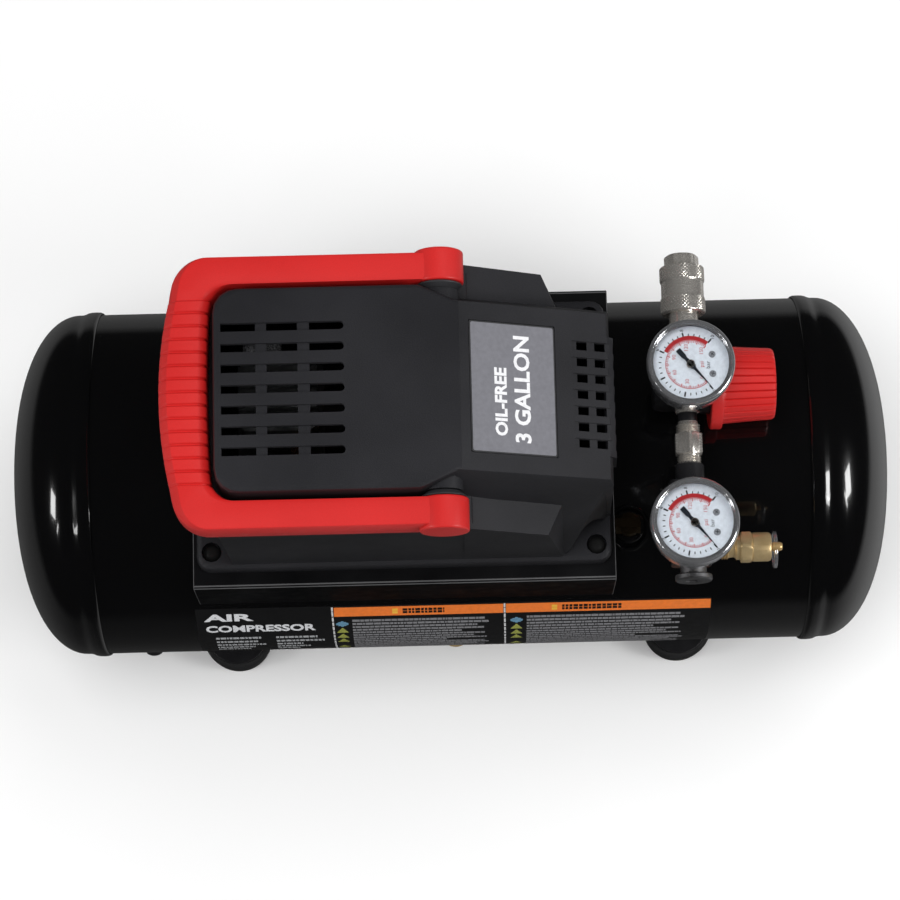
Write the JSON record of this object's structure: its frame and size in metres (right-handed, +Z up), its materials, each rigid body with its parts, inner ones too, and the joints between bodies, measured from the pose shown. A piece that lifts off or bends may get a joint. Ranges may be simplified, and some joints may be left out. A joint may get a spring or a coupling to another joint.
{
  "type": "hotdog air compressor",
  "caption": "Small portable air compressor: horizontal tank on rubber feet, vented pump shroud, folding carry handle, pressure regulator, gauges and a quick coupler.",
  "frame": {"origin": "middle of the footprint, on the floor under the tank", "axes": "+X along the tank towards the gauges, -Y towards the front with the drain valve, +Z up"},
  "size_m": [0.4696, 0.187, 0.33],
  "materials": {
    "tank_paint": "gloss black enamel",
    "satin_black_metal": "satin black",
    "shroud_plastic": "fine-textured charcoal",
    "shroud_label": "silver grey label",
    "red_plastic": "satin red",
    "black_plastic": "satin",
    "rubber": "matte black",
    "filter_foam": "open-cell foam",
    "nickel": "nickel plate",
    "chrome": "bright chrome",
    "brass": "machined",
    "aluminium": "as cast",
    "steel": "machined",
    "lamination": "laminated electrical steel",
    "copper": "drawn copper tube",
    "winding": "enamelled copper wire",
    "dial": "printed white",
    "lens": "clear"
  },
  "bodies": {
    "compressor": {"bearing_front": "steel", "bearing_rear": "steel", "check_valve": "brass", "cord_gland": "rubber", "coupler_body": "nickel", "crankcase": "aluminium", "cylinder": "aluminium", "cylinder_head": "aluminium", "discharge_tube": "copper", "drain_valve_body": "brass", "foot_front_left": "rubber", "foot_front_right": "rubber", "foot_rear_left": "rubber", "foot_rear_right": "rubber", "front_plug": "chrome", "gauge_lower_case": "chrome", "gauge_lower_dial": "dial", "gauge_lower_lens": "lens", "gauge_upper_case": "chrome", "gauge_upper_dial": "dial", "gauge_upper_lens": "lens", "handle_pivot_front": "steel", "handle_pivot_rear": "steel", "hex_nipple": "nickel", "intake_filter": "filter_foam", "leg_left": "satin_black_metal", "leg_right": "satin_black_metal", "manifold": "satin_black_metal", "motor_end_bracket": "aluminium", "mounting_plate": "satin_black_metal", "pressure_switch": "black_plastic", "regulator_body": "satin_black_metal", "safety_valve_body": "brass", "shroud": "shroud_plastic", "shroud_label": "shroud_label", "shroud_screw_front_left": "steel", "shroud_screw_front_right": "steel", "shroud_screw_rear_left": "steel", "shroud_screw_rear_right": "steel", "stator": "lamination", "tank_head_left": "tank_paint", "tank_head_right": "tank_paint", "tank_port_plug": "black_plastic", "tank_shell": "tank_paint", "valve_plate": "steel", "windings": "winding"},
    "carry_handle": {"handle": "red_plastic"},
    "regulator_knob": {"regulator_knob": "red_plastic"},
    "coupler_sleeve": {"coupler_sleeve": "nickel"},
    "coupler_poppet": {"coupler_poppet": "brass"},
    "upper_pointer": {"gauge_upper_pointer": "black_plastic"},
    "lower_pointer": {"gauge_lower_pointer": "black_plastic"},
    "safety_stem": {"safety_valve_stem": "brass"},
    "drain_knob": {"drain_valve_knob": "brass"},
    "power_rocker": {"power_switch": "red_plastic"},
    "crank": {"motor_shaft": "steel", "rotor": "lamination", "crank_web": "steel", "cooling_fan": "black_plastic"},
    "piston": {"piston_rod": "aluminium"}
  },
  "joints": [
    {"name": "handle_fold", "type": "hinge", "parent": "compressor", "child": "carry_handle", "pos_m": [-0.0035, 0, 0.316], "axis": [0, 1, 0], "range_deg": [0, 90]},
    {"name": "regulator_turn", "type": "hinge", "parent": "compressor", "child": "regulator_knob", "pos_m": [0.15, 0.0187, 0.238], "axis": [1, 0, 0], "range_deg": [0, 360]},
    {"name": "sleeve_slide", "type": "slide", "parent": "compressor", "child": "coupler_sleeve", "axis": [0, -1, 0], "range_m": [0, 0.0045], "stiffness_N_per_m": 600},
    {"name": "poppet_slide", "type": "slide", "parent": "compressor", "child": "coupler_poppet", "axis": [0, -1, 0], "range_m": [0, 0.003], "stiffness_N_per_m": 400},
    {"name": "upper_pointer_turn", "type": "hinge", "parent": "compressor", "child": "upper_pointer", "pos_m": [0.1213, 0.0205, 0.2773], "axis": [0, 0, -1], "range_deg": [0, 260], "stiffness_Nm_per_rad": 0.0002},
    {"name": "lower_pointer_turn", "type": "hinge", "parent": "compressor", "child": "lower_pointer", "pos_m": [0.1202, -0.0602, 0.2773], "axis": [0, 0, -1], "range_deg": [0, 260], "stiffness_Nm_per_rad": 0.0002},
    {"name": "safety_pull", "type": "slide", "parent": "compressor", "child": "safety_stem", "axis": [1, 0, 0], "range_m": [0, 0.003], "stiffness_N_per_m": 1500},
    {"name": "drain_turn", "type": "hinge", "parent": "compressor", "child": "drain_knob", "pos_m": [0.0007, -0.06987, 0.03873], "axis": [0, -0.6428, -0.766], "range_deg": [0, 360]},
    {"name": "power_rock", "type": "hinge", "parent": "compressor", "child": "power_rocker", "pos_m": [0.031, 0.062, 0.244], "axis": [-1, 0, 0], "range_deg": [0, 18]},
    {"name": "crank_spin", "type": "hinge", "parent": "compressor", "child": "crank", "pos_m": [0, 0, 0.26], "axis": [1, 0, 0], "continuous": true},
    {"name": "piston_stroke", "type": "slide", "parent": "compressor", "child": "piston", "axis": [0, 0, 1], "range_m": [-0.014, 0]}
  ]
}
